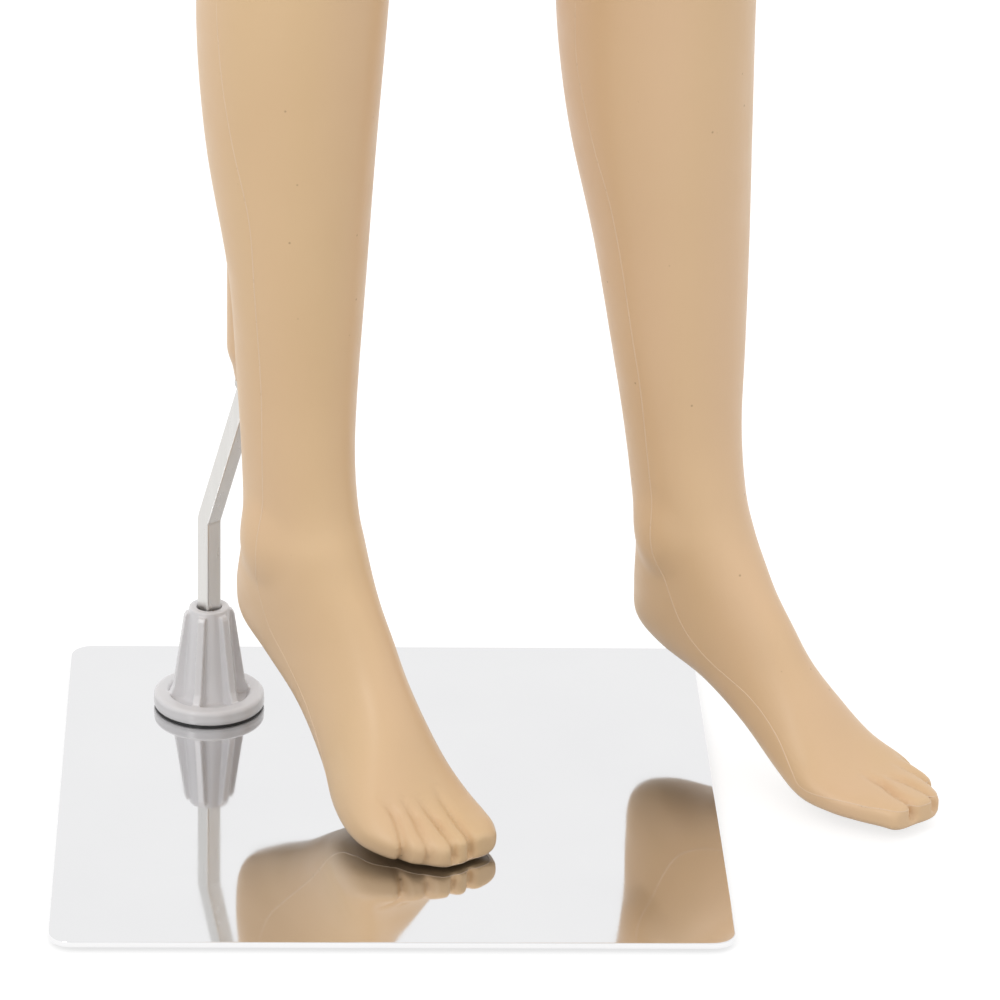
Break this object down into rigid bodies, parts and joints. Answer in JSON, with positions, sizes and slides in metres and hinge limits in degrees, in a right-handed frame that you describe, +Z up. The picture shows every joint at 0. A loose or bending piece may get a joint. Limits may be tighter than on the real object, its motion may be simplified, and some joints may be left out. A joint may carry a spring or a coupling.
{
  "type": "full body mannequin",
  "caption": "Free-standing female full-body display mannequin with raised heels, held by a bent rod from a square polished base; limbs, torso, head and hands turn at flat seams.",
  "frame": {"origin": "centre of the square base at floor level, on the underside of its middle pad", "axes": "+Z up, the figure faces -Y, its left side is +X; the base plate is turned 37 degrees clockwise about Z, seen from above"},
  "size_m": [0.5902, 0.4804, 1.777],
  "materials": {
    "body_plastic": "warm tan moulded polyethylene, soft sheen",
    "fitting_plastic": "black moulded plastic",
    "grey_plastic": "glossy light grey moulded plastic",
    "polished_steel": "mirror polished stainless sheet",
    "satin_steel": "satin bright steel bar",
    "zinc_steel": "zinc plated steel",
    "black_rubber": "black rubber"
  },
  "bodies": {
    "base": {"base_plate": "polished_steel", "base_pads": "black_rubber", "socket_gasket": "black_rubber", "rod_socket": "grey_plastic", "socket_nut": "zinc_steel", "base_bolt": "zinc_steel", "grub_screw": "zinc_steel"},
    "rod": {"support_rod": "satin_steel"},
    "lower": {"lower_body": "body_plastic", "calf_sleeve": "fitting_plastic", "waist_socket": "fitting_plastic", "thigh_socket": "fitting_plastic", "lower_body_screws": "zinc_steel"},
    "leg": {"left_leg": "body_plastic", "thigh_plug": "fitting_plastic", "left_leg_screws": "zinc_steel"},
    "chest": {"torso": "body_plastic", "waist_plug": "fitting_plastic", "neck_socket": "fitting_plastic", "left_shoulder_socket": "fitting_plastic", "right_shoulder_socket": "fitting_plastic", "torso_screws": "zinc_steel"},
    "head": {"head": "body_plastic", "neck_plug": "fitting_plastic", "head_screws": "zinc_steel"},
    "arm_left": {"left_arm": "body_plastic", "left_shoulder_plug": "fitting_plastic", "left_wrist_socket": "fitting_plastic", "left_arm_screws": "zinc_steel"},
    "arm_right": {"right_arm": "body_plastic", "right_shoulder_plug": "fitting_plastic", "right_wrist_socket": "fitting_plastic", "right_arm_screws": "zinc_steel"},
    "hand_left": {"left_hand": "body_plastic", "left_wrist_plug": "fitting_plastic"},
    "hand_right": {"right_hand": "body_plastic", "right_wrist_plug": "fitting_plastic"}
  },
  "joints": [
    {"name": "rod_lift", "type": "slide", "parent": "base", "child": "rod", "axis": [0, 0, 1], "range_m": [0, 0.04]},
    {"name": "figure_lift", "type": "slide", "parent": "rod", "child": "lower", "axis": [0, -0.3746, 0.9272], "range_m": [0, 0.1]},
    {"name": "waist_turn", "type": "hinge", "parent": "lower", "child": "chest", "pos_m": [0.07, 0.01, 1.1], "axis": [0, 0, 1], "range_deg": [-30, 30]},
    {"name": "thigh_turn", "type": "hinge", "parent": "lower", "child": "leg", "pos_m": [0.157, 0.006, 0.8], "axis": [0, 0, 1], "range_deg": [-10, 10]},
    {"name": "head_turn", "type": "hinge", "parent": "chest", "child": "head", "pos_m": [0.07, 0.02, 1.5], "axis": [0, 0, 1], "continuous": true},
    {"name": "left_shoulder_turn", "type": "hinge", "parent": "chest", "child": "arm_left", "pos_m": [0.22, 0.022, 1.391], "axis": [-1, 0, 0], "range_deg": [-30, 120]},
    {"name": "right_shoulder_turn", "type": "hinge", "parent": "chest", "child": "arm_right", "pos_m": [-0.08, 0.022, 1.391], "axis": [-1, 0, 0], "range_deg": [-30, 120]},
    {"name": "left_wrist_turn", "type": "hinge", "parent": "arm_left", "child": "hand_left", "pos_m": [0.326, -0.035, 0.872], "axis": [0.108, -0.222, -0.969], "continuous": true},
    {"name": "right_wrist_turn", "type": "hinge", "parent": "arm_right", "child": "hand_right", "pos_m": [-0.186, -0.035, 0.872], "axis": [-0.108, -0.222, -0.969], "continuous": true}
  ]
}
